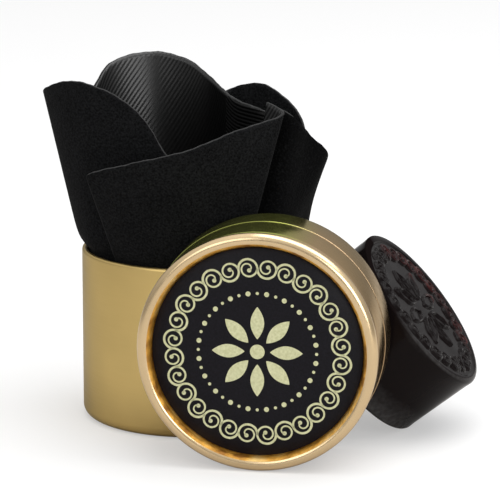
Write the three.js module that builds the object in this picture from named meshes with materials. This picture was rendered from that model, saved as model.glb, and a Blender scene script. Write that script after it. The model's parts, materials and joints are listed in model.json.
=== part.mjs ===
// A cake of rosin with its storage set: a drawn metal canister, its slip-over lid with a printed
// disc in the end, the square of cloth that the cake is wrapped in, and the cake itself, leaning
// on the canister.
// Millimetres, +Z up. The origin is the centre of the canister's base, on the table.
// +X runs towards the cake and -Y towards the front, where the lid stands on its rim.
import * as THREE from 'three';

// Driving dimensions
const ROUND_STEPS = 64;          // facets round every turned piece
const CANISTER_RADIUS = 25;
const CANISTER_HEIGHT = 38.2;
const CANISTER_WALL = 0.8;
const CANISTER_CORNER = 2.2;     // rounded foot of the drawn cup
const LIP_RADIUS = 0.7;          // rolled lip, turned inwards

const SLIP_FIT = 0.3;            // radial clearance of the lid over the canister
const LID_WALL = 0.5;
const LID_DEPTH = 21.5;
const BEAD_RADIUS = 1.45;        // rolled bead round the lid's end
const BEAD_CREASE = 0.4;         // groove between the bead and the skirt
const SKIRT_STEP = 0.12;         // the skirt is this much wider past its step
const SKIRT_STEP_AT = 8.2;       // distance of the step from the open end
const RECESS_DEPTH = 2.0;        // front of the bead to the face of the label
const LABEL_THICKNESS = 0.3;
const GLUE_GAP = 0.3;
const LID_CENTRE = new THREE.Vector2(13.7, -50.1); // front of the lid, seen from above
const LID_TURN = -9.7;           // degrees that the lid's face is turned from the front

const CAKE_FACE_RADIUS = 19.6;
const CAKE_FOOT_RADIUS = 19.4;
const CAKE_HEIGHT = 19.6;
const CAKE_EDGE = 1.0;           // rounded edges of the casting
const CAKE_BORDER = 1.5;         // width of the raised border round the face
const CAKE_BORDER_HEIGHT = 0.3;
const CAKE_CENTRE = new THREE.Vector2(35.8, -10.1); // middle of the foot, seen from above
const CAKE_BEARING = -13;        // degrees, direction in which the leaning cake faces
const CAKE_RISE = 38.8;          // degrees, how far its face is tipped upwards

const CLOTH_FOOT = 1.6;          // underside of the cloth above the table
const CLOTH_FIT = 1.3;           // gap between the cloth and the canister's wall
const CLOTH_THICKNESS = 2.6;     // bulk of the gathered layers
const CLOTH_NECK = 41;           // height at which the cloth starts to open out
// Petals of the open cloth: direction in degrees, height of the edge, reach from the middle
const CLOTH_PETALS = [
  { at: -138, height: 60, reach: 28.5 },
  { at: -92, height: 65, reach: 27.5 },
  { at: -42, height: 71, reach: 27 },
  { at: -8, height: 61, reach: 29 },
  { at: 16, height: 54, reach: 26.5 },
  { at: 50, height: 71, reach: 26 },
  { at: 76, height: 68, reach: 26.5 },
  { at: 107, height: 80, reach: 29 },
  { at: 140, height: 75, reach: 29 },
  { at: 178, height: 74, reach: 32.5 },
  { at: 200, height: 77, reach: 31 },
];

const gold = { color: 0xbfa468, metalness: 0.9, roughness: 0.35 };
const MATERIALS = {
  canister: new THREE.MeshStandardMaterial(gold),
  lid: new THREE.MeshStandardMaterial({ ...gold, color: 0xc4a878, roughness: 0.25 }),
  label: new THREE.MeshStandardMaterial({ color: 0x1c1a24, roughness: 0.5 }),
  cloth: new THREE.MeshStandardMaterial({ color: 0x1d1d1d, roughness: 0.95 }),
  rosin: new THREE.MeshStandardMaterial({ color: 0x211c20, roughness: 0.18 }),
};

// Points of a circular arc in a profile, from one angle to another in degrees
function arc(centreR, centreY, radius, from, to, steps = 5) {
  const points = [];
  for (let i = 0; i <= steps; i += 1) {
    const a = THREE.MathUtils.degToRad(from + ((to - from) * i) / steps);
    points.push(new THREE.Vector2(centreR + radius * Math.cos(a), centreY + radius * Math.sin(a)));
  }
  return points;
}

const at = (r, y) => new THREE.Vector2(r, y);

function turned(name, profile, material) {
  const mesh = new THREE.Mesh(new THREE.LatheGeometry(profile, ROUND_STEPS), material);
  mesh.name = name;
  return mesh;
}

// The canister: flat base, rounded foot, straight wall and a lip rolled inwards
function canisterCup() {
  const inner = CANISTER_RADIUS - CANISTER_WALL;
  const corner = CANISTER_RADIUS - CANISTER_CORNER;
  const lipR = CANISTER_RADIUS - LIP_RADIUS;
  const lipZ = CANISTER_HEIGHT - LIP_RADIUS;
  const profile = [
    at(0, 0),
    ...arc(corner, CANISTER_CORNER, CANISTER_CORNER, -90, 0),
    ...arc(lipR, lipZ, LIP_RADIUS, 0, 180, 6),
    at(inner, lipZ - LIP_RADIUS),
    ...arc(corner, CANISTER_CORNER, CANISTER_CORNER - CANISTER_WALL, 0, -90),
    at(0, CANISTER_WALL),
  ];
  const mesh = turned('canister_cup', profile, MATERIALS.canister);
  mesh.rotation.x = Math.PI / 2;
  return mesh;
}

const labelFace = LID_DEPTH - RECESS_DEPTH;
const labelBack = labelFace - LABEL_THICKNESS;
const panelFront = labelBack - GLUE_GAP;
const skirtInner = CANISTER_RADIUS + SLIP_FIT;
const skirtOuter = skirtInner + LID_WALL;
const beadR = skirtOuter - BEAD_RADIUS;
const recessR = beadR - BEAD_RADIUS;

// The lid: open end at y = 0, bead at y = LID_DEPTH, end panel set back inside the bead
function lidShell() {
  const beadY = LID_DEPTH - BEAD_RADIUS;
  const creaseY = beadY - BEAD_RADIUS;
  const panelBack = panelFront - LID_WALL;
  const neckOuter = skirtOuter - SKIRT_STEP;
  const profile = [
    at(0, panelBack),
    ...arc(skirtInner - 1, panelBack - 1, 1, 90, 0, 3),
    at(skirtInner, 0.2),
    at(skirtInner + 0.15, 0),
    at(skirtOuter - 0.15, 0),
    at(skirtOuter, 0.2),
    at(skirtOuter, SKIRT_STEP_AT),
    at(neckOuter, SKIRT_STEP_AT + SKIRT_STEP),
    at(neckOuter, creaseY - 0.5),
    at(skirtOuter - BEAD_CREASE, creaseY + 0.1),
    ...arc(beadR, beadY, BEAD_RADIUS, -35, 180, 9),
    at(recessR, panelFront + 0.3),
    at(recessR - 0.3, panelFront),
    at(0, panelFront),
  ];
  return turned('lid_shell', profile, MATERIALS.lid);
}

function lidLabel() {
  const radius = recessR - GLUE_GAP;
  const profile = [
    at(0, labelBack),
    at(radius, labelBack),
    at(radius, labelFace - 0.1),
    at(radius - 0.1, labelFace),
    at(0, labelFace),
  ];
  return turned('lid_label', profile, MATERIALS.label);
}

// The lid stands on its skirt, face to the front
function standingLid() {
  const tipped = new THREE.Group();
  tipped.rotation.x = Math.PI;
  tipped.position.y = LID_DEPTH;
  tipped.add(lidShell(), lidLabel());
  const stand = new THREE.Group();
  stand.position.set(LID_CENTRE.x, LID_CENTRE.y, skirtOuter);
  stand.rotation.z = THREE.MathUtils.degToRad(LID_TURN);
  stand.add(tipped);
  return stand;
}

// The cake: a slightly tapered casting with a raised border round its face
function rosinCake() {
  const rise = THREE.MathUtils.degToRad(CAKE_RISE);
  const bearing = THREE.MathUtils.degToRad(CAKE_BEARING);
  const borderInner = CAKE_FACE_RADIUS - CAKE_EDGE - CAKE_BORDER;
  const face = CAKE_HEIGHT - CAKE_BORDER_HEIGHT;
  const profile = [
    at(0, 0),
    ...arc(CAKE_FOOT_RADIUS - CAKE_EDGE, CAKE_EDGE, CAKE_EDGE, -90, 0, 4),
    ...arc(CAKE_FACE_RADIUS - CAKE_EDGE, CAKE_HEIGHT - CAKE_EDGE, CAKE_EDGE, 0, 90, 4),
    at(borderInner + CAKE_BORDER_HEIGHT, CAKE_HEIGHT),
    at(borderInner, face),
    at(0, face),
  ];
  const mesh = turned('rosin_cake', profile, MATERIALS.rosin);
  const facing = new THREE.Vector3(Math.cos(rise) * Math.cos(bearing),
    Math.cos(rise) * Math.sin(bearing), Math.sin(rise));
  const footHeight = (CAKE_FOOT_RADIUS - CAKE_EDGE) * Math.cos(rise)
    + CAKE_EDGE * (1 - Math.sin(rise));
  mesh.quaternion.setFromUnitVectors(new THREE.Vector3(0, 1, 0), facing);
  mesh.position.set(CAKE_CENTRE.x, CAKE_CENTRE.y, footHeight);
  return mesh;
}

// Smoothly joins the petals round the circle
function petalEdge(angle) {
  const count = CLOTH_PETALS.length;
  const turn = THREE.MathUtils.euclideanModulo(angle - CLOTH_PETALS[0].at, 360);
  for (let i = 0; i < count; i += 1) {
    const here = CLOTH_PETALS[i];
    const next = CLOTH_PETALS[(i + 1) % count];
    const start = THREE.MathUtils.euclideanModulo(here.at - CLOTH_PETALS[0].at, 360);
    const span = THREE.MathUtils.euclideanModulo(next.at - here.at, 360);
    if (turn >= start && turn <= start + span) {
      const t = THREE.MathUtils.smoothstep((turn - start) / span, 0, 1);
      return {
        height: THREE.MathUtils.lerp(here.height, next.height, t),
        reach: THREE.MathUtils.lerp(here.reach, next.reach, t),
      };
    }
  }
  return CLOTH_PETALS[0];
}

// The cloth: a pouch that fills the canister and opens into petals above it, hollow in the middle.
// Rings run up its outside to the petals' edge, over it and down the inside.
function polishingCloth() {
  const SIDES = 60;
  const WALL_RINGS = 4;
  const PETAL_RINGS = 7;
  const bodyR = CANISTER_RADIUS - CANISTER_WALL - CLOTH_FIT;
  const footR = bodyR - CANISTER_CORNER;
  const rings = [];
  const ring = (place) => {
    const points = [];
    for (let i = 0; i < SIDES; i += 1) {
      const angle = (360 * i) / SIDES;
      const { r, z } = place(petalEdge(angle));
      const a = THREE.MathUtils.degToRad(angle);
      points.push([r * Math.cos(a), r * Math.sin(a), z]);
    }
    rings.push(points);
  };
  const wall = (inset, t) => ring(() => ({
    r: bodyR - inset,
    z: THREE.MathUtils.lerp(CLOTH_FOOT + CANISTER_CORNER + inset, CLOTH_NECK, t),
  }));
  const petal = (inset, t) => ring(({ height, reach }) => ({
    r: bodyR - inset + (reach - bodyR) * t * t,
    z: THREE.MathUtils.lerp(CLOTH_NECK, height - inset * 0.3, t),
  }));
  ring(() => ({ r: footR, z: CLOTH_FOOT }));
  for (let k = 0; k <= WALL_RINGS; k += 1) wall(0, k / WALL_RINGS);
  for (let k = 1; k <= PETAL_RINGS; k += 1) petal(0, k / PETAL_RINGS);
  for (let k = PETAL_RINGS; k >= 1; k -= 1) petal(CLOTH_THICKNESS, k / PETAL_RINGS);
  for (let k = WALL_RINGS; k >= 0; k -= 1) wall(CLOTH_THICKNESS, k / WALL_RINGS);
  ring(() => ({ r: footR - CLOTH_THICKNESS, z: CLOTH_FOOT + CLOTH_THICKNESS }));

  const positions = [0, 0, CLOTH_FOOT, ...rings.flat(2), 0, 0, CLOTH_FOOT + CLOTH_THICKNESS];
  const last = rings.length - 1;
  const top = positions.length / 3 - 1;
  const vertex = (k, i) => 1 + k * SIDES + (i % SIDES);
  const faces = [];
  for (let i = 0; i < SIDES; i += 1) {
    faces.push(0, vertex(0, i + 1), vertex(0, i));
    for (let k = 0; k < last; k += 1) {
      faces.push(vertex(k, i), vertex(k, i + 1), vertex(k + 1, i + 1));
      faces.push(vertex(k, i), vertex(k + 1, i + 1), vertex(k + 1, i));
    }
    faces.push(top, vertex(last, i), vertex(last, i + 1));
  }
  const geometry = new THREE.BufferGeometry();
  geometry.setAttribute('position', new THREE.Float32BufferAttribute(positions, 3));
  geometry.setIndex(faces);
  geometry.computeVertexNormals();
  const mesh = new THREE.Mesh(geometry, MATERIALS.cloth);
  mesh.name = 'polishing_cloth';
  return mesh;
}

const group = new THREE.Group();
group.add(canisterCup(), standingLid(), polishingCloth(), rosinCake());

export default group;
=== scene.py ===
"""A rosin cake with its gold canister, lid and wrapping cloth, on a pale studio floor."""

import json
import math

import bmesh
import bpy
import numpy as np
from mathutils import Matrix, Vector
from mathutils.geometry import tessellate_polygon


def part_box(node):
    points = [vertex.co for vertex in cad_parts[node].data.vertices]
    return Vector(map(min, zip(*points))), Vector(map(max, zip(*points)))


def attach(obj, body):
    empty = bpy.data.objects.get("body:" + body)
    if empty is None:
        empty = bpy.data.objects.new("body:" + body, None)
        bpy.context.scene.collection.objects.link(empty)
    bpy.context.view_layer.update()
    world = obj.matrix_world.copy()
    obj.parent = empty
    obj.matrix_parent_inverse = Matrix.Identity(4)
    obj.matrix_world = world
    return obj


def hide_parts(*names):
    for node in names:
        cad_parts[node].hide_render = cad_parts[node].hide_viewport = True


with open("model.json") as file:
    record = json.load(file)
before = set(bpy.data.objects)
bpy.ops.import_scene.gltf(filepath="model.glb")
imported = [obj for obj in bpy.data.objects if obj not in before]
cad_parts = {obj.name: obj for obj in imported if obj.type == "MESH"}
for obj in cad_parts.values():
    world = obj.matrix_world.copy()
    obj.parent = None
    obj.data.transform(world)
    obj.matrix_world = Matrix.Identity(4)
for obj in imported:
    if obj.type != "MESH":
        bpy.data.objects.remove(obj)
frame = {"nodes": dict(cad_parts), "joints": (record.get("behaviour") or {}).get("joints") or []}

MM = 0.001
UP = Vector((0, 0, 1))
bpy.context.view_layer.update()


# ---------------------------------------------------------------- camera, floor and light

CAMERA_AT = Vector((0.0125, -0.7636, 0.2088))
CAMERA_PITCH = 12.68      # degrees below the horizon
CAMERA_LENS = 252         # mm
CAMERA_SENSOR = 36        # mm

FLOOR_WHITE = (0.55, 0.55, 0.55)
FLOOR_GLOW = 0.40         # keeps the shadows on the floor light
FLOOR_MIRRORED = (0.58, 0.565, 0.55)   # the table that metal and gloss mirror
ROOM_LOW = 0.3            # light from the horizon
ROOM_HIGH = 0.9           # light from overhead


def make_camera():
    data = bpy.data.cameras.new("camera")
    data.lens = CAMERA_LENS
    data.sensor_width = CAMERA_SENSOR
    data.clip_end = 20
    camera = bpy.data.objects.new("camera", data)
    camera.location = CAMERA_AT
    camera.rotation_euler = (math.radians(90 - CAMERA_PITCH), 0, 0)
    bpy.context.scene.collection.objects.link(camera)
    bpy.context.scene.camera = camera


def make_floor():
    """White paper for the camera. Metal and gloss mirror the dimmer table it stands for."""
    bpy.ops.mesh.primitive_plane_add(size=8, location=(0, 2.0, -0.0001))
    floor = bpy.context.object
    floor.name = "floor"
    nt, shader = new_material("floor_paper", FLOOR_WHITE, roughness=0.8)
    shader.inputs["Specular IOR Level"].default_value = 0
    shader.inputs["Emission Color"].default_value = (1, 1, 1, 1)
    shader.inputs["Emission Strength"].default_value = FLOOR_GLOW
    table = node(nt, "ShaderNodeBsdfDiffuse", Color=(*FLOOR_MIRRORED, 1))
    only_seen(nt, table.outputs[0], shader.outputs[0], "Material Output")
    floor.data.materials.append(LOOKS["floor_paper"])


def only_seen(nt, for_light, for_camera, output):
    """One look for the rays that the camera sends out, another for all other light."""
    path = nt.nodes.new("ShaderNodeLightPath")
    mix = nt.nodes.new("ShaderNodeMixShader")
    nt.links.new(path.outputs["Is Camera Ray"], mix.inputs["Fac"])
    nt.links.new(for_light, mix.inputs[1])
    nt.links.new(for_camera, mix.inputs[2])
    nt.links.new(mix.outputs[0], nt.nodes[output].inputs["Surface"])


def area_light(name, place, target, size, power):
    data = bpy.data.lights.new(name, "AREA")
    data.energy = power
    data.shape = "SQUARE"
    data.size = size
    light = bpy.data.objects.new(name, data)
    light.location = place
    light.rotation_euler = (Vector(target) - Vector(place)).to_track_quat("-Z", "Y").to_euler()
    bpy.context.scene.collection.objects.link(light)


def make_light():
    """A dim room, brighter overhead, with a softbox above and one at either side in front."""
    world = bpy.data.worlds.new("studio")
    world.use_nodes = True
    nt = world.node_tree
    room = nt.nodes["Background"]
    direction = nt.nodes.new("ShaderNodeTexCoord").outputs["Generated"]
    split = nt.nodes.new("ShaderNodeSeparateXYZ")
    nt.links.new(direction, split.inputs[0])
    nt.links.new(ramp(nt, split.outputs["Z"], (0.0, ROOM_LOW), (0.9, ROOM_HIGH)),
                 room.inputs["Color"])
    backdrop = nt.nodes.new("ShaderNodeBackground")
    backdrop.inputs["Color"].default_value = (1, 1, 1, 1)
    only_seen(nt, room.outputs[0], backdrop.outputs[0], "World Output")
    bpy.context.scene.world = world
    area_light("softbox_above", (0.27, -0.03, 0.8), (0.02, 0, 0), 0.8, 4.7)
    area_light("softbox_left", (-0.5, -0.75, 0.40), (0, 0, 0.03), 0.45, 0.9)
    area_light("softbox_right", (0.42, -0.76, 0.30), (0, 0, 0.03), 0.45, 2.3)
    bpy.context.scene.view_settings.view_transform = "Standard"


# ---------------------------------------------------------------- materials

LOOKS = {}


def new_material(name, colour, roughness, metallic=0.0):
    material = bpy.data.materials.new("look_" + name)
    LOOKS[name] = material
    material.use_nodes = True
    shader = material.node_tree.nodes["Principled BSDF"]
    shader.inputs["Base Color"].default_value = (*colour, 1)
    shader.inputs["Roughness"].default_value = roughness
    shader.inputs["Metallic"].default_value = metallic
    return material.node_tree, shader


def node(nt, kind, **settings):
    made = nt.nodes.new(kind)
    for key, value in settings.items():
        if key in made.inputs:
            made.inputs[key].default_value = value
        else:
            setattr(made, key, value)
    return made


def noise(nt, vector, scale, detail=3.0, roughness=0.5):
    made = node(nt, "ShaderNodeTexNoise", Scale=scale, Detail=detail, Roughness=roughness)
    nt.links.new(vector, made.inputs["Vector"])
    return made.outputs["Fac"]


def stretched(nt, vector, scale):
    made = node(nt, "ShaderNodeMapping")
    made.inputs["Scale"].default_value = scale
    nt.links.new(vector, made.inputs["Vector"])
    return made.outputs["Vector"]


def ramp(nt, factor, *stops):
    made = node(nt, "ShaderNodeValToRGB")
    elements = made.color_ramp.elements
    while len(elements) < len(stops):
        elements.new(0.5)
    for element, (place, colour) in zip(elements, stops):
        element.position = place
        value = colour if hasattr(colour, "__len__") else (colour,) * 3
        element.color = (*value, 1)
    nt.links.new(factor, made.inputs["Fac"])
    return made.outputs["Color"]


def bump(nt, height, strength, distance, before=None):
    made = node(nt, "ShaderNodeBump", Strength=strength, Distance=distance)
    nt.links.new(height, made.inputs["Height"])
    if before is not None:
        nt.links.new(before, made.inputs["Normal"])
    return made.outputs["Normal"]


def position(nt):
    return nt.nodes.new("ShaderNodeTexCoord").outputs["Object"]


def gold(name, colour, roughness, grain, grain_scale):
    """Gold anodised metal: grain of that scale each way, faint smudges and small colour changes."""
    nt, shader = new_material(name, colour, roughness, metallic=1.0)
    place = position(nt)
    lines = noise(nt, stretched(nt, place, grain_scale), 1.0, detail=4)
    smudge = noise(nt, place, 60, detail=2)
    dark = tuple(c * 0.88 for c in colour)
    nt.links.new(ramp(nt, smudge, (0.3, dark), (0.7, colour)), shader.inputs["Base Color"])
    low, high = roughness - grain, roughness + grain
    nt.links.new(ramp(nt, lines, (0.3, low), (0.7, high)), shader.inputs["Roughness"])
    nt.links.new(bump(nt, lines, 0.05, 0.0001), shader.inputs["Normal"])
    return nt, shader


def canister_metal():
    _, shader = gold("canister_metal", (0.74, 0.54, 0.21), 0.36, 0.05, (90, 90, 2600))
    shader.inputs["Specular Tint"].default_value = (0.55, 0.60, 0.68, 1)


def lid_metal():
    """The lid's lacquer, with a painted green reflection round the top of its side, where it mirrors
    the dark cloth, given by a painted share; and the looks of its bead and of the recess inside it."""
    nt, shader = gold("lid_metal", (0.52, 0.37, 0.22), 0.20, 0.04, (500, 500, 500))
    shader.inputs["Specular Tint"].default_value = (0.85, 0.79, 0.66, 1)
    # Painted green reflection: the base colour turns green, and a little less metallic, where the
    # share says.
    painted = node(nt, "ShaderNodeAttribute", attribute_name="painted_green_reflection").outputs["Fac"]
    clean = shader.inputs["Base Color"].links[0].from_socket
    mix = node(nt, "ShaderNodeMix", data_type="RGBA")
    nt.links.new(painted, mix.inputs["Factor"])
    colours = [socket for socket in mix.inputs if socket.type == "RGBA"]
    nt.links.new(clean, colours[0])
    colours[1].default_value = (0.35, 0.375, 0.10, 1)
    result = next(socket for socket in mix.outputs if socket.type == "RGBA")
    nt.links.new(result, shader.inputs["Base Color"])
    nt.links.new(ramp(nt, painted, (0.0, 1.0), (1.0, 0.93)), shader.inputs["Metallic"])
    # The bead is the same metal as the rest of the lid: its lighter gold is a painted highlight, and
    # the lid's darker gold above is painted shade.
    gold("lid_bead", (0.87, 0.655, 0.385), 0.22, 0.04, (500, 500, 500))
    crinkled_gold()


def crinkled_gold():
    """The turned-in side of the bead: deep orange lacquer over crinkled metal."""
    nt, shader = new_material("lid_recess", (0.80, 0.40, 0.06), 0.34, metallic=0.55)
    place = position(nt)
    crinkle = noise(nt, place, 700, detail=4, roughness=0.65)
    stain = noise(nt, place, 260, detail=3)
    nt.links.new(ramp(nt, stain, (0.34, (0.34, 0.14, 0.02)), (0.52, (0.78, 0.40, 0.06)),
                      (0.75, (0.95, 0.66, 0.25))), shader.inputs["Base Color"])
    nt.links.new(bump(nt, crinkle, 0.9, 0.0004), shader.inputs["Normal"])


def label_black():
    nt, shader = new_material("label_black", (0.012, 0.011, 0.018), 0.42)
    shader.inputs["Specular IOR Level"].default_value = 0.15
    place = position(nt)
    fibre = noise(nt, place, 2500, detail=3)
    nt.links.new(ramp(nt, fibre, (0.3, (0.004, 0.0035, 0.005)), (0.8, (0.009, 0.008, 0.012))),
                 shader.inputs["Base Color"])
    nt.links.new(bump(nt, fibre, 0.15, 0.00003), shader.inputs["Normal"])


def label_print():
    nt, shader = new_material("label_print", (0.62, 0.62, 0.36), 0.5)
    ink = noise(nt, position(nt), 1800, detail=4)
    nt.links.new(ramp(nt, ink, (0.3, (0.52, 0.52, 0.28)), (0.7, (0.68, 0.68, 0.42))),
                 shader.inputs["Base Color"])


def less(nt, value, name):
    """A value with the share painted under that name taken off."""
    difference = node(nt, "ShaderNodeMath", operation="SUBTRACT")
    nt.links.new(value, difference.inputs[0])
    painted = node(nt, "ShaderNodeAttribute", attribute_name=name).outputs["Fac"]
    nt.links.new(painted, difference.inputs[1])
    return difference.outputs[0]


def suede():
    """The napped side: fine speckled fluff, with a faint change of tone over larger patches.
    It is darker where a painted share of shade is taken off its tone, on the right petal."""
    nt, shader = new_material("cloth_nap", (0.012, 0.012, 0.013), 0.95)
    place = position(nt)
    fluff = noise(nt, place, 2300, detail=3, roughness=0.6)
    patch = noise(nt, place, 140, detail=2)
    tone = node(nt, "ShaderNodeMath", operation="MULTIPLY")
    nt.links.new(fluff, tone.inputs[0])
    nt.links.new(ramp(nt, patch, (0.3, 0.88), (0.7, 1.0)), tone.inputs[1])
    tone = less(nt, tone.outputs[0], "painted_shade_share")
    nt.links.new(ramp(nt, tone, (0.10, (0.0010, 0.0010, 0.0011)),
                      (0.33, (0.0026, 0.0027, 0.0029)),
                      (0.62, (0.0122, 0.0126, 0.0134))), shader.inputs["Base Color"])
    shader.inputs["Sheen Weight"].default_value = 0.02
    shader.inputs["Sheen Roughness"].default_value = 0.4
    shader.inputs["Specular IOR Level"].default_value = 0.05
    nt.links.new(bump(nt, fluff, 0.6, 0.0003), shader.inputs["Normal"])


def ribbed():
    """The other side: fine slanting ribs with a dull shine, greyer where they have rubbed."""
    ribs("cloth_ribs", 0.0035, 0.65, 0.21)
    ribs("cloth_rubbed_ribs", 0.020, 0.15, 0.35)


def ribs(name, crest, shine, relief):
    """Ribs with tops of brightness crest, a specular level shine and a bump of strength relief."""
    nt, shader = new_material(name, (0.012, 0.012, 0.013), 0.34)
    flat = nt.nodes.new("ShaderNodeUVMap").outputs["UV"]
    wave = node(nt, "ShaderNodeTexWave", Scale=RIB_WAVES, Distortion=0.6)
    wave.inputs["Detail"].default_value = 1.0
    wave.inputs["Detail Scale"].default_value = 0.4
    nt.links.new(flat, wave.inputs["Vector"])
    height = wave.outputs["Fac"]
    nt.links.new(ramp(nt, height, (0.1, 0.0003), (0.9, crest)), shader.inputs["Base Color"])
    shader.inputs["Specular IOR Level"].default_value = shine
    fine = noise(nt, position(nt), 2600, detail=4)
    nt.links.new(bump(nt, height, relief, 0.0002, bump(nt, fine, 0.2, 0.0001)),
                 shader.inputs["Normal"])


def cut_edge():
    """Fluff and backing that show where the cloth was cut, darker along the back petal's edge, where a
    share set on the mesh is taken off.
    """
    nt, shader = new_material("cloth_cut_edge", (0.03, 0.03, 0.03), 0.95)
    fluff = noise(nt, position(nt), 1500, detail=4)
    tone = less(nt, fluff, "darker_edge_share")
    nt.links.new(ramp(nt, tone, (0.12, 0.001), (0.35, 0.004), (0.68, 0.026)),
                 shader.inputs["Base Color"])
    shader.inputs["Sheen Weight"].default_value = 0.02


def rosin():
    """Black glossy rosin. The relief is red at the right: its own red where thin, with a painted glow
    of light shining through it. It is lighter grey as painted reflection of the floor towards the
    foot, and as wear with a painted highlight round the face's rim. Part of the border has its
    reflection taken away as painted shade."""
    nt, shader = new_material("rosin", (0.010, 0.006, 0.007), 0.16)
    # Painted shade: on part of the border the reflection is taken away, so that it shows as a dark
    # band.
    painted_dark_band = node(nt, "ShaderNodeAttribute", attribute_name="painted_dark_band").outputs["Fac"]
    nt.links.new(ramp(nt, painted_dark_band, (0.0, 0.07), (1.0, 0.0)), shader.inputs["Specular IOR Level"])
    place = position(nt)
    cloud = noise(nt, place, 190, detail=4)
    mottle = noise(nt, place, 900, detail=4)
    shares = []
    for name, pattern in (("thin_red_and_painted_glow", cloud), ("wear_and_painted_light", mottle)):
        painted = node(nt, "ShaderNodeAttribute", attribute_name=name)
        share = node(nt, "ShaderNodeMath", operation="MULTIPLY")
        nt.links.new(painted.outputs["Fac"], share.inputs[0])
        nt.links.new(pattern, share.inputs[1])
        shares.append(share.outputs[0])
    mix = node(nt, "ShaderNodeMix", data_type="RGBA", blend_type="ADD")
    mix.inputs["Factor"].default_value = 1
    colours = [socket for socket in mix.inputs if socket.type == "RGBA"]
    # Red where the relief is thin, with a painted glow of light shining through it at the right.
    nt.links.new(ramp(nt, shares[0], (0.12, (0.0070, 0.0050, 0.0050)), (0.38, (0.024, 0.006, 0.006)),
                      (0.60, (0.062, 0.015, 0.013))), colours[0])
    # Lighter grey: painted reflection of the floor at the foot, and wear with a painted highlight
    # round the rim.
    nt.links.new(ramp(nt, shares[1], (0.05, 0.0), (0.65, 0.06)), colours[1])
    result = next(socket for socket in mix.outputs if socket.type == "RGBA")
    nt.links.new(result, shader.inputs["Base Color"])
    smear = noise(nt, place, 300, detail=5)
    nt.links.new(ramp(nt, smear, (0.35, 0.07), (0.75, 0.24)), shader.inputs["Roughness"])
    nt.links.new(bump(nt, smear, 0.12, 0.0002), shader.inputs["Normal"])


# ---------------------------------------------------------------- mesh helpers

def add_object(name, points, faces, *materials):
    mesh = bpy.data.meshes.new(name)
    mesh.from_pydata([tuple(p) for p in points], [], faces)
    mesh.validate()
    for material in materials:
        mesh.materials.append(LOOKS[material])
    obj = bpy.data.objects.new(name, mesh)
    bpy.context.scene.collection.objects.link(obj)
    mesh.shade_smooth()
    return obj


def arc(r, y, radius, start, end, steps=10):
    """Points of a circular arc in a profile, angles in degrees."""
    angles = (math.radians(start + (end - start) * i / steps) for i in range(steps + 1))
    return [(r + radius * math.cos(a), y + radius * math.sin(a)) for a in angles]


def basis(origin, axis, right):
    """Local x to the right, z along the axis, at that origin."""
    axis = Vector(axis).normalized()
    right = (Vector(right) - axis * axis.dot(right)).normalized()
    turn = Matrix((right, axis.cross(right), axis)).transposed()
    return Matrix.Translation(origin) @ turn.to_4x4()


def revolve(name, profile, frame_at, *materials, sides=256):
    """Turns a profile that starts and ends on the axis. It may be a function of the angle."""
    section = profile if callable(profile) else lambda turn: profile
    sections = [section(2 * math.pi * i / sides) for i in range(sides)]
    first, last = sections[0][0], sections[0][-1]
    rings = len(sections[0]) - 2
    points = [Vector((0, 0, first[1]))]
    for k in range(1, rings + 1):
        for i in range(sides):
            a = 2 * math.pi * i / sides
            r, y = sections[i][k]
            points.append(Vector((r * math.cos(a), r * math.sin(a), y)))
    points.append(Vector((0, 0, last[1])))
    end = len(points) - 1
    at = lambda k, i: 1 + k * sides + i % sides
    faces = [(0, at(0, i + 1), at(0, i)) for i in range(sides)]
    for k in range(rings - 1):
        faces += [(at(k, i), at(k, i + 1), at(k + 1, i + 1), at(k + 1, i)) for i in range(sides)]
    faces += [(end, at(rings - 1, i), at(rings - 1, i + 1)) for i in range(sides)]
    return add_object(name, [frame_at @ p for p in points], faces, *materials)


def measure(name, axis):
    """Centre of a round CAD node's low end, its length along the axis and its radius."""
    axis = Vector(axis).normalized()
    points = [v.co.copy() for v in frame["nodes"][name].data.vertices]
    along = [p.dot(axis) for p in points]
    low, high = min(along), max(along)
    right = axis.orthogonal().normalized()
    other = axis.cross(right)
    middle = Vector((0, 0, 0))
    for side in (right, other):
        reach = [p.dot(side) for p in points]
        middle += side * (min(reach) + max(reach)) / 2
    radius = max((p - middle - axis * p.dot(axis)).length for p in points)
    return middle + axis * low, high - low, radius


def joint_axis(name):
    found = next(j for j in frame["joints"] if j["name"] == name)
    return Vector(found["axis"])


# ---------------------------------------------------------------- canister

CANISTER_WALL = 0.8 * MM
CANISTER_CORNER = 2.2 * MM
LIP = 0.7 * MM


def make_canister():
    low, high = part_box("canister_cup")
    radius, height = (high.x - low.x) / 2, high.z
    corner = radius - CANISTER_CORNER
    profile = [
        (0, 0), (corner * 0.5, 0),
        *arc(corner, CANISTER_CORNER, CANISTER_CORNER, -90, 0),
        (radius, height / 2),
        *arc(radius - LIP, height - LIP, LIP, 0, 180, 12),
        (radius - 1.6 * LIP, height - 1.6 * LIP),
        (radius - CANISTER_WALL, height - 2.6 * LIP),
        (radius - CANISTER_WALL, height / 2),
        *arc(corner, CANISTER_CORNER, CANISTER_CORNER - CANISTER_WALL, 0, -90),
        (corner * 0.5, CANISTER_WALL), (0, CANISTER_WALL),
    ]
    cup = revolve("canister", profile, Matrix.Identity(4), "canister_metal")
    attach(cup, "canister")
    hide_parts("canister_cup")


# ---------------------------------------------------------------- lid

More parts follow.
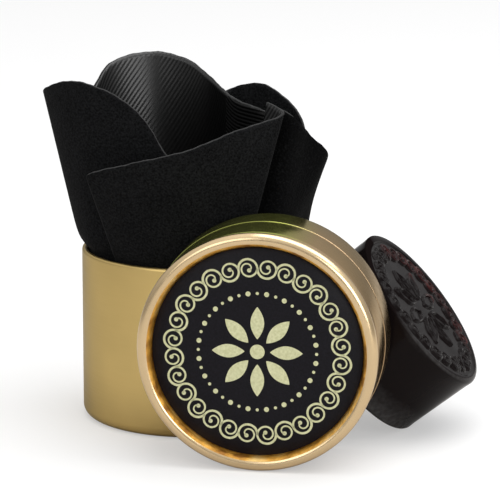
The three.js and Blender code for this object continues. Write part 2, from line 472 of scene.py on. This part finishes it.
BEAD = 1.45 * MM
CREASE = 0.4 * MM
LID_WALL = 0.5 * MM
SKIRT_STEP = 0.12 * MM
SKIRT_STEP_AT = 8.2 * MM
RECESS = 2.0 * MM
LABEL_THICKNESS = 0.3 * MM
GLUE_GAP = 0.3 * MM
GREEN_REFLECTION_AT = 115          # degrees round the lid, seen from the front, where the painted green reflection is centred
GREEN_REFLECTION_SPREAD = 52       # degrees that the painted green reflection reaches to either side of that
GREEN_REFLECTION_FADE = 18         # degrees over which it fades out at its ends
RECESS_SLOT = 1           # places in the lid's list of materials
BEAD_SLOT = 2


def lid_face():
    """The direction in which the lid's face looks: the level part of the way it lifts off."""
    axis = joint_axis("lid_lift")
    return Vector((axis.x, axis.y, 0)).normalized()


def lid_right():
    return UP.cross(lid_face())


def make_lid():
    face = lid_face()
    back, depth, radius = measure("lid_shell", face)
    place = basis(back, face, lid_right())
    inner = radius - LID_WALL
    bead_r = radius - BEAD
    bead_y = depth - BEAD
    crease_y = bead_y - BEAD
    recess_r = bead_r - BEAD
    panel = depth - RECESS - LABEL_THICKNESS - GLUE_GAP
    panel_back = panel - LID_WALL
    neck = radius - SKIRT_STEP
    profile = [
        (0, panel_back), (inner * 0.6, panel_back),
        *arc(inner - 1 * MM, panel_back - 1 * MM, 1 * MM, 90, 0, 6),
        (inner, 0.25 * MM), (inner + 0.12 * MM, 0.02 * MM),
        (radius - 0.15 * MM, 0), (radius - 0.03 * MM, 0.08 * MM), (radius, 0.25 * MM),
        (radius, SKIRT_STEP_AT - 0.8 * MM), (radius, SKIRT_STEP_AT - 0.2 * MM),
        *arc(radius - 0.12 * MM, SKIRT_STEP_AT - 0.12 * MM, 0.12 * MM, 0, 80, 5),
        (neck, SKIRT_STEP_AT + 0.08 * MM), (neck, SKIRT_STEP_AT + 0.6 * MM),
        (neck, crease_y - 0.8 * MM), (neck - 0.08 * MM, crease_y - 0.4 * MM),
        (radius - CREASE, crease_y), (radius - CREASE, crease_y + 0.15 * MM),
        *arc(bead_r, bead_y, BEAD, -35, 180, 26),
        (recess_r, panel + 0.5 * MM), (recess_r - 0.1 * MM, panel + 0.15 * MM),
        (recess_r - 0.4 * MM, panel), (recess_r * 0.5, panel), (0, panel),
    ]
    shell = revolve("lid", profile, place, "lid_metal", "lid_recess", "lid_bead")
    inverse = place.inverted()
    # Painted green reflection on the outside of the side, round the top, where the lid mirrors the
    # dark cloth.
    painted_green_reflection = shell.data.attributes.new("painted_green_reflection", "FLOAT", "POINT")
    for vertex, share in zip(shell.data.vertices, painted_green_reflection.data):
        local = inverse @ vertex.co
        off = abs(math.degrees(math.atan2(local.y, local.x)) - GREEN_REFLECTION_AT)
        outside = math.hypot(local.x, local.y) > radius - 1 * MM
        share.value = min(1, max(0, (GREEN_REFLECTION_SPREAD - off) / GREEN_REFLECTION_FADE)) if outside else 0
    for polygon in shell.data.polygons:
        local = inverse @ polygon.center
        across = math.hypot(local.x, local.y)
        if local.z > panel - 0.1 * MM and across < recess_r + 0.5 * BEAD:
            polygon.material_index = RECESS_SLOT
        elif local.z > crease_y + 0.1 * MM:
            polygon.material_index = BEAD_SLOT
    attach(shell, "lid")
    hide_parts("lid_shell")


def make_label():
    face = lid_face()
    back, thick, radius = measure("lid_label", face)
    edge = 0.06 * MM
    profile = [
        (0, 0), (radius * 0.5, 0), (radius - edge, 0), (radius, edge),
        (radius, thick - edge), (radius - edge, thick), (radius * 0.5, thick), (0, thick),
    ]
    disc = revolve("label", profile, basis(back, face, lid_right()), "label_black")
    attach(disc, "lid")
    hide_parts("lid_label")
    return basis(back + face * thick, face, lid_right()), radius


# ---------------------------------------------------------------- print on the label

INK = 0.04 * MM           # the print stands this far out of the label
INK_ROOT = 0.02 * MM      # and reaches this far into it
CURL_TURN = 600           # degrees through which each curl of the scrolls winds
CURL_SHRINK = 0.76        # share of its radius that it loses after the first half round
# The print on the label, in shares of the label's radius.
PRINT_SCROLLS_AT = 0.80
PRINT_BAY = 0.18          # room that each curl takes along the ring
PRINT_PEN = 0.023         # breadth of the line where a curl starts
PRINT_PEN_LOSS = 0.011    # and what it has lost at the end
PRINT_CURL_END = 0.020
PRINT_DOTS_AT = 0.56
PRINT_DOTS = (0.015, 0.024)
PRINT_DOT_COUNT = 40
PRINT_FLOWER = 0.43
PRINT_PETAL = 0.13
PRINT_EYE = 0.07


def ribbon(line, width):
    """Outline of a pen stroke along a line of points; width(t) is its breadth."""
    line = [Vector(p) for p in line]
    last = len(line) - 1
    left, right = [], []
    for i, p in enumerate(line):
        along = (line[min(i + 1, last)] - line[max(i - 1, 0)]).normalized()
        side = Vector((-along.y, along.x)) * width(i / last) / 2
        left.append(p + side)
        right.append(p - side)
    return left + right[::-1]


def foil(name, outlines, place):
    """Flat shapes with a little thickness, each given by its outline."""
    points, faces = [], []
    for outline in outlines:
        flat = [Vector((x, y, 0)) for x, y in outline]
        start, count = len(points), len(flat)
        points += [p + Vector((0, 0, INK)) for p in flat]
        points += [p - Vector((0, 0, INK_ROOT)) for p in flat]
        for a, b, c in tessellate_polygon([flat]):
            up = (flat[b] - flat[a]).cross(flat[c] - flat[a]).z > 0
            a, b, c = (a, b, c) if up else (a, c, b)
            faces.append((start + a, start + b, start + c))
            faces.append((start + count + a, start + count + c, start + count + b))
        for i in range(count):
            p, q = start + i, start + (i + 1) % count
            faces.append((p, p + count, q + count, q))
    obj = add_object(name, [place @ p for p in points], faces, "label_print")
    mesh = bmesh.new()
    mesh.from_mesh(obj.data)
    bmesh.ops.recalc_face_normals(mesh, faces=mesh.faces)
    mesh.to_mesh(obj.data)
    mesh.free()
    obj.data.shade_flat()
    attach(obj, "lid")


def polar(r, degrees):
    a = math.radians(degrees)
    return Vector((r * math.cos(a), r * math.sin(a)))


def on_arc(points, radius, degrees):
    """Sets a small drawing on a circle, its own +y pointing outwards."""
    turn = Matrix.Rotation(math.radians(degrees - 90), 2)
    return [polar(radius, degrees) + turn @ p for p in points]


def dot(centre, radius, steps=16):
    return [Vector(centre) + polar(radius, 360 * i / steps) for i in range(steps)]


def leaf(length, width, steps=24):
    """A pointed oval, upright."""
    right = [Vector((width / 2 * math.sin(math.pi * i / steps) ** 0.85, length * (i / steps - 0.5)))
             for i in range(steps)]
    left = [Vector((-p.x, -p.y)) for p in right]
    return right + left


def rosette(reach, width, petals=8):
    """Outlines of pointed petals round the middle, with room for an eye."""
    length = reach * 0.72
    petal = leaf(length, width)
    return [on_arc(petal, reach - length / 2, 90 + 360 * k / petals) for k in range(petals)]


def scroll_ring(radius, bay, steps=44):
    """A vine round a circle: half rounds that swing out and in, each winding on into a curl.
    The curls alternate, so the ring closes where their count is even."""
    count = round(2 * math.pi * radius / bay)
    lines = []
    for i in range(count):
        side = 1 if i % 2 else -1
        line = []
        for k in range(steps + 1):
            turn = 180 - CURL_TURN * k / steps
            shrink = 1 - CURL_SHRINK * max(0, -turn) / (CURL_TURN - 180)
            p = polar(bay / 2 * shrink, turn)
            line.append(Vector((p.x, p.y * side)))
        lines.append(on_arc(line, radius, 360 * (i + 0.5) / count))
    return lines


def make_print(place, radius):
    """Plain ornament with no lettering: a ring of scrolls, a ring of dots and a rosette."""
    pen = lambda t: radius * (PRINT_PEN - PRINT_PEN_LOSS * t)
    band = []
    for line in scroll_ring(radius * PRINT_SCROLLS_AT, radius * PRINT_BAY):
        band.append(ribbon(line, pen))
        band.append(dot(line[-1], radius * PRINT_CURL_END))
    foil("label_scrolls", band, place)

    dots = []
    for i in range(PRINT_DOT_COUNT):
        centre = polar(radius * PRINT_DOTS_AT, 360 * i / PRINT_DOT_COUNT)
        dots.append(dot(centre, radius * PRINT_DOTS[i % 2]))
    foil("label_dots", dots, place)

    flower = rosette(radius * PRINT_FLOWER, radius * PRINT_PETAL)
    foil("label_rosette", flower + [dot((0, 0), radius * PRINT_EYE, 24)], place)


# ---------------------------------------------------------------- cake

CAKE_SHARP = 0.3 * MM     # rounding of the face's rim at its upper end
CAKE_WORN = 1.4 * MM      # and at its lower end, where it is worn
CAKE_EDGE = 1.0 * MM      # rounding at the foot, and the room for the rim outside the border
CAKE_BORDER = 0.8 * MM
CAKE_BORDER_HEIGHT = 0.3 * MM
CAKE_RELIEF = 0.65 * MM
CAKE_WAVES = 0.04 * MM    # slow unevenness of the poured face
CAKE_WOBBLE = 0.13 * MM   # the mould's lines wander by this much
CAKE_SHADE_AT = 128        # degrees round the face, where the border's reflection is taken away as painted shade
CAKE_SHADE_SPREAD = 66     # degrees to either side of that
CAKE_SHADE_FADE = 28       # degrees over which it turns glossy again
CAKE_FOOT_REFLECTION = 8 * MM   # the painted reflection of the floor, lighter towards the foot, reaches this far up from it
CAKE_RIM_WEAR_AND_HIGHLIGHT = 0.8 * MM  # and the wear with a painted highlight this far round the rim of the face
CAKE_TAPER = 0.99         # the foot against the face
CAKE_SIDES = 440
CAKE_RINGS = 105
# The relief, in shares of the radius of the field inside the border.
RELIEF_SCROLLS_AT = 0.84
RELIEF_BAY = 0.20
RELIEF_SCROLL_PEN = 0.046
RELIEF_FLOWER = 0.58
RELIEF_PETAL = 0.17
RELIEF_PETAL_PEN = 0.04


def stroke_height(x, y, line, width):
    """How far a point is into a rounded stroke, from 0 outside to 1 on its centre line."""
    best = np.full(x.shape, 9.0)
    for (ax, ay), (bx, by) in zip(line[:-1], line[1:]):
        dx, dy = bx - ax, by - ay
        t = np.clip(((x - ax) * dx + (y - ay) * dy) / (dx * dx + dy * dy + 1e-12), 0, 1)
        best = np.minimum(best, np.hypot(x - ax - t * dx, y - ay - t * dy))
    return np.clip(1 - (best / (width / 2)) ** 2, 0, 1) ** 0.5


def cake_relief(x, y, radius):
    """Raised design on the face, as a share of the relief's height: scrolls round a rosette."""
    x, y = (x + CAKE_WOBBLE * np.sin(y * 1900 + 3 * np.sin(x * 700)),
            y + CAKE_WOBBLE * np.sin(x * 1700 + 3 * np.sin(y * 600)))
    vine = scroll_ring(radius * RELIEF_SCROLLS_AT, radius * RELIEF_BAY)
    flower = rosette(radius * RELIEF_FLOWER, radius * RELIEF_PETAL)
    strokes = [(line, RELIEF_SCROLL_PEN) for line in vine]
    strokes += [(petal + petal[:1], RELIEF_PETAL_PEN) for petal in flower]
    height = np.zeros(x.shape)
    for line, width in strokes:
        height = np.maximum(height, stroke_height(x, y, line, radius * width))
    uneven = 0.8 + 0.2 * np.sin(x * 900 + 1) * np.sin(y * 1100)
    return height * uneven


def make_cake():
    axis = joint_axis("cake_lift")
    foot, length, radius = measure("rosin_cake", axis)
    foot_r = radius * CAKE_TAPER
    field = radius - CAKE_EDGE - CAKE_BORDER
    floor = length - CAKE_BORDER_HEIGHT
    field_rings = [(field * i / CAKE_RINGS, floor) for i in range(CAKE_RINGS, 0, -1)]

    def section(turn):
        edge = CAKE_SHARP + (CAKE_WORN - CAKE_SHARP) * ((1 - math.sin(turn)) / 2) ** 3
        wall = [(foot_r + (radius - foot_r) * i / 12,
                 CAKE_EDGE + (length - edge - CAKE_EDGE) * i / 12) for i in range(1, 12)]
        return [
            (0, 0), (foot_r * 0.3, 0), (foot_r * 0.6, 0),
            *arc(foot_r - CAKE_EDGE, CAKE_EDGE, CAKE_EDGE, -90, 0, 8),
            *wall,
            *arc(radius - edge, length - edge, edge, 0, 90, 10),
            (min(radius - edge, field + CAKE_EDGE) - 0.2 * MM, length),
            (field + 0.3 * MM, length - 0.03 * MM), (field + 0.1 * MM, length - 0.1 * MM),
            *field_rings,
            (0, floor),
        ]

    place = basis(foot, axis, UP.cross(axis))
    cake = revolve("rosin_block", section, place, "rosin", sides=CAKE_SIDES)
    inverse = place.inverted()
    local = np.array([inverse @ v.co for v in cake.data.vertices])
    x, y, z = local.T
    across = np.hypot(x, y)
    face = (np.abs(z - floor) < 1e-6) & (across < field + 1e-6)
    relief = np.zeros(len(local))
    relief[face] = cake_relief(x[face], y[face], field)
    poured = np.sin(x * 620 + 1.1) * np.cos(y * 540) + 0.6 * np.sin(x * 330 + y * 410)
    inside = np.clip((field - across) / (2 * MM), 0, 1)
    lift = relief * CAKE_RELIEF * np.clip((field - across) / (0.4 * MM), 0, 1) \
        + CAKE_WAVES * poured * inside
    local[:, 2] += np.where(face, lift, 0)
    wall = ~face & (z > CAKE_EDGE) & (z < length - CAKE_WORN)
    shrink = 1 - 0.006 * (0.5 + 0.5 * np.sin(x * 310 + 1) * np.cos(y * 270))
    local[wall, :2] *= shrink[wall, None]
    # The relief is red at the right and at the upper right of the face: the rosin's own red where
    # thin, with a painted glow of light shining through it.
    far_side = np.clip((x / field + 0.35 * np.maximum(y, 0) / field - 0.25) / 0.3, 0, 1)
    # Lighter towards the foot as painted reflection of the floor, and round the rim as wear with a
    # painted highlight.
    foot_reflection = np.clip(1 - z / CAKE_FOOT_REFLECTION, 0, 1)
    rim_wear_and_highlight = np.clip(1 - np.hypot(radius - across, length - z) / CAKE_RIM_WEAR_AND_HIGHLIGHT, 0, 1)
    # Painted shade on the border at the upper left of the face.
    off = np.abs(np.degrees(np.arctan2(y, x)) % 360 - CAKE_SHADE_AT)
    painted_dark_band = np.clip((CAKE_SHADE_SPREAD - off) / CAKE_SHADE_FADE, 0, 1) * (across > field - 0.3 * MM)
    painted_dark_band *= z > length - 1 * MM
    painted = {"thin_red_and_painted_glow": np.clip(relief, 0, 1) * far_side, "painted_dark_band": painted_dark_band,
               "wear_and_painted_light": np.maximum(foot_reflection, rim_wear_and_highlight * (1 - painted_dark_band))}
    for name, values in painted.items():
        layer = cake.data.attributes.new(name, "FLOAT", "POINT")
        layer.data.foreach_set("value", values.astype(np.float32))
    for vertex, p in zip(cake.data.vertices, local):
        vertex.co = place @ Vector(p)
    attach(cake, "cake")
    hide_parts("rosin_cake")


# ---------------------------------------------------------------- cloth

CLOTH_THICKNESS = 0.6 * MM
CLOTH_NECK = 38.5         # mm, height where the petals leave the canister
CLOTH_FLOOR = 2.3         # mm, underside in the canister
CLOTH_FLOOR_RISE = 3      # mm, from its middle to its rim
CLOTH_FLOOR_END = 5.5     # mm, where it turns up the canister's wall
CLOTH_FOOT = 0.93         # its width in the canister's foot, against the neck
COLUMN_SPACING = 1.1      # mm, about the distance between columns of points
FLOOR_ROWS = 14           # rows of points that lie on the canister's floor
WALL_ROWS = 14            # rows up the canister's wall
PETAL_STEPS = 36          # rows of faces from the neck to the cut edge
TELLING_ROW = 20          # row of points, on the wall, by which the columns are told apart
PETAL_ROW = 22            # the last row of faces with the ribs inside on every petal
SWELL_RISE = 25           # how soon above the neck the petals belly out
LAYER_END = 8             # last columns of the turned layers, which have the back petal's ribs
DARK_EDGE_AFTER = 4           # the darker edge starts this many columns after the rubbed ribs
NAP_SLOT = 3              # places in the cloth's list of materials, for faces with nap inside
RUBBED_SLOT = 6           # and for faces with rubbed ribs
SHADE_SHARE = 0.17       # taken off the tone of the nap as painted shade on the right petal
EDGE_DARKENING = 0.3         # taken off the tone of the edge along the back petal, where it is darker
EDGE_WAVE = 0.05          # mm, unevenness of the cut edge
# Bearings round the canister, in degrees, by which the folds are told apart.
PLEAT_FROM, PETALS_FROM, PETALS_TO = -62, -48, 80
LAYERS_FROM, LAYERS_TO = 30, 84
LAYERS_WITHIN = 21.5      # mm, the turned layers lie nearer to the axis than this
# Painted shade on the right petal's nap, centred at this bearing.
SHADE_AT, SHADE_REACH, SHADE_FADE = -24, 40, 10
DARK_EDGE_TO, DARK_EDGE_FADE = 170, 6
DARK_EDGE_COLUMNS = 5         # columns over which the edge turns darker
RIB_ANGLE = 7             # degrees, direction across the ribs in the flat cloth
RIB_ANGLE_INSIDE = 103    # the same in the layers that turn back inside
RIB_SPACING = 0.95        # mm
FLAT_UNIT = 100           # mm of cloth to one unit of its flat map
RIB_WAVES = 2 * math.pi / 20 * FLAT_UNIT / RIB_SPACING   # the wave texture has 20 radians to a unit
# The folds of the cloth in order round its cut edge, seen from above and anticlockwise. Each has
# the bearing and radius where it passes the canister's rim, the place of its edge, and how far it
# bellies outwards just above the rim, in mm.
FOLDS = [
    (-138, 22.7, (-22.8, -21.0, 58.0), 0.0),      # left fold of the front petal
    (-118, 22.8, (-14.5, -26.0, 61.5), 0.0),
    (-94, 22.8, (-1.1, -28.0, 65.0), 0.0),
    (-74, 22.8, (9.3, -25.0, 68.7), 0.0),
    (-61, 22.4, (19.6, -18.5, 71.3), 0.0),        # ridge at its right
    (-55, 18.5, (16.4, -10.5, 72.4), 0.0),        # small pleat turned inwards
    (-44, 21.8, (21.6, -14.5, 70.2), 0.0),
    (-25, 22.8, (25.7, -10.0, 65.0), -1.0),       # right petal
    (-8, 22.8, (29.5, -5.0, 60.2), -1.6),         # its corner
    (12, 22.8, (27.0, 4.0, 54.0), 2.6),
    (28, 22.8, (25.5, 9.0, 59.0), 2.6),
    (42, 22.8, (23.3, 12.5, 66.0), 1.2),          # back right petal
    (58, 22.8, (15.2, 18.5, 71.5), 0.0),
    (72, 22.4, (8.2, 20.5, 70.0), 0.0),
    (74, 21.0, (6.4, 18.5, 69.0), 0.0),           # turns back inside it
    (58, 20.8, (11.0, 12.5, 66.5), 0.0),
    (40, 20.6, (17.0, 4.0, 67.5), 0.0),
    (42, 19.0, (14.5, 1.5, 68.8), 0.0),           # turns again
    (58, 19.0, (9.5, 5.0, 70.2), 0.0),
    (76, 19.4, (6.3, 13.0, 71.2), 0.0),
    (90, 20.4, (3.5, 18.5, 73.0), 0.0),           # tall back petal
    (104, 22.0, (-1.5, 22.0, 76.4), 0.0),
    (120, 22.8, (-9.4, 24.0, 78.0), 0.0),
    (138, 22.8, (-18.8, 20.5, 76.2), 0.0),
    (154, 22.8, (-23.0, 14.0, 71.0), 0.0),
    (168, 23.0, (-26.0, 7.0, 68.0), 1.2),
    (182, 23.1, (-33.0, 0.0, 72.9), 2.0),         # corner of the left petal
    (202, 22.9, (-26.0, -12.0, 77.4), 1.2),
    (220, 21.0, (-16.9, -17.0, 75.2), 0.0),
    (238, 20.1, (-10.7, -18.5, 70.4), 0.0),
    (254, 19.8, (-6.4, -19.3, 63.5), 0.0),        # dips behind the front petal
    (260, 20.8, (-3.5, -21.3, 59.0), 0.0),
    (244, 21.5, (-12.0, -21.8, 55.0), 0.0),
    (226, 21.8, (-19.5, -19.8, 55.5), 0.0),
]


def closed_spline(knots, spacing):
    """Centripetal Catmull-Rom curve through a closed list of points of any dimension."""
    knots = np.array(knots, float)
    count = len(knots)
    out = []
    for i in range(count):
        p = [knots[(i + k - 1) % count] for k in range(4)]
        t = [0.0]
        for k in range(3):
            t.append(t[-1] + max(np.linalg.norm(p[k + 1] - p[k]), 1e-6) ** 0.5)
        steps = max(3, int(round(np.linalg.norm(p[2] - p[1]) / spacing)))
        for s in np.linspace(t[1], t[2], steps, endpoint=False):
            a = [((t[k + 1] - s) * p[k] + (s - t[k]) * p[k + 1]) / (t[k + 1] - t[k]) for k in range(3)]
            b = [((t[k + 2] - s) * a[k] + (s - t[k]) * a[k + 1]) / (t[k + 2] - t[k]) for k in range(2)]
            out.append(((t[2] - s) * b[0] + (s - t[1]) * b[1]) / (t[2] - t[1]))
    return np.array(out)


def cloth_rows():
    """Rows of points round the cloth, from its middle on the canister's floor to its cut edge."""
    knots = []
    for bearing, radius, edge, belly in FOLDS:
        x, y = polar(radius, bearing)
        knots.append((x, y, *edge, belly))
    around = closed_spline(knots, COLUMN_SPACING)
    neck, edge, belly = around[:, :2], around[:, 2:5], around[:, 5:]
    rows = []
    for i in range(1, FLOOR_ROWS + 1):
        t = i / (FLOOR_ROWS + 1)
        z = CLOTH_FLOOR + CLOTH_FLOOR_RISE * t
        rows.append(np.column_stack([neck * CLOTH_FOOT * t, np.full(len(neck), z)]))
    for i in range(WALL_ROWS):
        t = i / WALL_ROWS
        shape = CLOTH_FOOT + (1 - CLOTH_FOOT) * t ** 0.5
        z = CLOTH_FLOOR_END + (CLOTH_NECK - CLOTH_FLOOR_END) * t
        rows.append(np.column_stack([neck * shape, np.full(len(neck), z)]))
    base = np.column_stack([neck, np.full(len(neck), float(CLOTH_NECK))])
    outward = np.column_stack([neck, np.zeros(len(neck))])
    outward /= np.linalg.norm(outward, axis=1)[:, None]
    for i in range(PETAL_STEPS + 1):
        t = i / PETAL_STEPS
        swell = (1 - math.exp(-SWELL_RISE * t)) * (1 - t)
        rows.append(base + (edge - base) * t + outward * belly * swell)
    column = np.arange(len(neck))
    rows[-1][:, 2] += EDGE_WAVE * (np.sin(column * 1.9) + np.sin(column * 0.83 + 1))
    return np.array(rows)


def cloth_columns(rows):
    """Columns of the petals at the right, columns of the small pleat and of the layers that turn
    back inside, how much painted shade darkens the nap on the right petal, and how much darker the cut
    edge is at the back."""
    x, y = rows[TELLING_ROW, :, 0], rows[TELLING_ROW, :, 1]
    bearing = np.degrees(np.arctan2(y, x))
    layers = (bearing > LAYERS_FROM) & (bearing < LAYERS_TO) & (np.hypot(x, y) < LAYERS_WITHIN)
    inside = layers.copy()
    inside[np.flatnonzero(layers)[-LAYER_END:]] = False
    petal = (bearing > PETALS_FROM) & (bearing < PETALS_TO) & ~layers
    pleat = (bearing > PLEAT_FROM) & (bearing <= PETALS_FROM)
    # Painted shade that darkens the right petal's nap.
    flat = np.clip((SHADE_REACH - np.abs(bearing - SHADE_AT)) / SHADE_FADE, 0, 1)
    # The share taken off the cut edge's tone along the back petal, so that it looks darker there.
    past = np.arange(len(bearing)) - np.flatnonzero(inside)[-1] - DARK_EDGE_AFTER
    clean = np.clip(past / DARK_EDGE_COLUMNS, 0, 1) * (bearing > 0)
    clean *= np.clip((DARK_EDGE_TO - bearing) / DARK_EDGE_FADE, 0, 1)
    return petal, inside | pleat, flat, clean


def make_cloth():
    rows = cloth_rows()
    height, width, _ = rows.shape
    along = np.linalg.norm(np.diff(rows, axis=0), axis=2)
    path = np.vstack([np.linalg.norm(rows[0] - rows[0].mean(0), axis=1), along]).cumsum(0)
    rim = rows[-1]
    steps = np.linalg.norm(np.roll(rim, -1, axis=0) - rim, axis=1) / path[-1]
    turn = np.concatenate([[0], steps.cumsum()])
    points = [(0, 0, CLOTH_FLOOR)] + [tuple(p) for p in rows.reshape(-1, 3)]
    points = [Vector(p) * MM for p in points]
    at = lambda k, i: 1 + k * width + i % width
    faces = [(0, at(0, i), at(0, i + 1)) for i in range(width)]
    for k in range(height - 1):
        faces += [(at(k, i), at(k + 1, i), at(k + 1, i + 1), at(k, i + 1)) for i in range(width)]
    cloth = add_object("wrapping_cloth", points, faces, "cloth_ribs", "cloth_nap", "cloth_cut_edge",
                       "cloth_nap", "cloth_nap", "cloth_cut_edge",
                       "cloth_rubbed_ribs", "cloth_nap", "cloth_cut_edge")
    flat = cloth.data.uv_layers.new(name="flat")
    petal, turned, painted_shade_share, clean = cloth_columns(rows)
    # Painted shade on the right petal, and the darker cut edge at the back.
    for name, share in (("painted_shade_share", SHADE_SHARE * painted_shade_share), ("darker_edge_share", EDGE_DARKENING * clean)):
        layer = cloth.data.attributes.new(name, "FLOAT", "POINT")
        layer.data.foreach_set("value", [0, *np.tile(share, height)])
    for polygon in cloth.data.polygons:
        column = (polygon.index - width) % width if polygon.index >= width else polygon.index
        row = polygon.index // width
        if row > PETAL_ROW and petal[column]:
            polygon.material_index = NAP_SLOT
        elif row > PETAL_ROW and turned[column]:
            polygon.material_index = RUBBED_SLOT
        lean = math.radians(RIB_ANGLE_INSIDE if turned[column] else RIB_ANGLE)
        for loop in polygon.loop_indices:
            corner = cloth.data.loops[loop].vertex_index
            k, i = divmod(corner - 1, width)
            if row < FLOOR_ROWS:
                point = points[corner]
                flat.data[loop].uv = point.x / MM / FLAT_UNIT, point.y / MM / FLAT_UNIT
                continue
            angle = turn[width if i == 0 and column == width - 1 else i] - lean
            reach = path[k, i] / FLAT_UNIT
            flat.data[loop].uv = reach * math.cos(angle), reach * math.sin(angle)
    thick = cloth.modifiers.new("thickness", "SOLIDIFY")
    thick.thickness = CLOTH_THICKNESS
    thick.offset = 0
    thick.material_offset = 1
    thick.material_offset_rim = 2
    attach(cloth, "cloth")
    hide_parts("polishing_cloth")


# ---------------------------------------------------------------- build

make_camera()
make_floor()
make_light()
for make_material in (canister_metal, lid_metal, label_black, label_print,
                      suede, ribbed, cut_edge, rosin):
    make_material()
make_canister()
make_lid()
make_print(*make_label())
make_cake()
make_cloth()

bpy.context.view_layer.update()
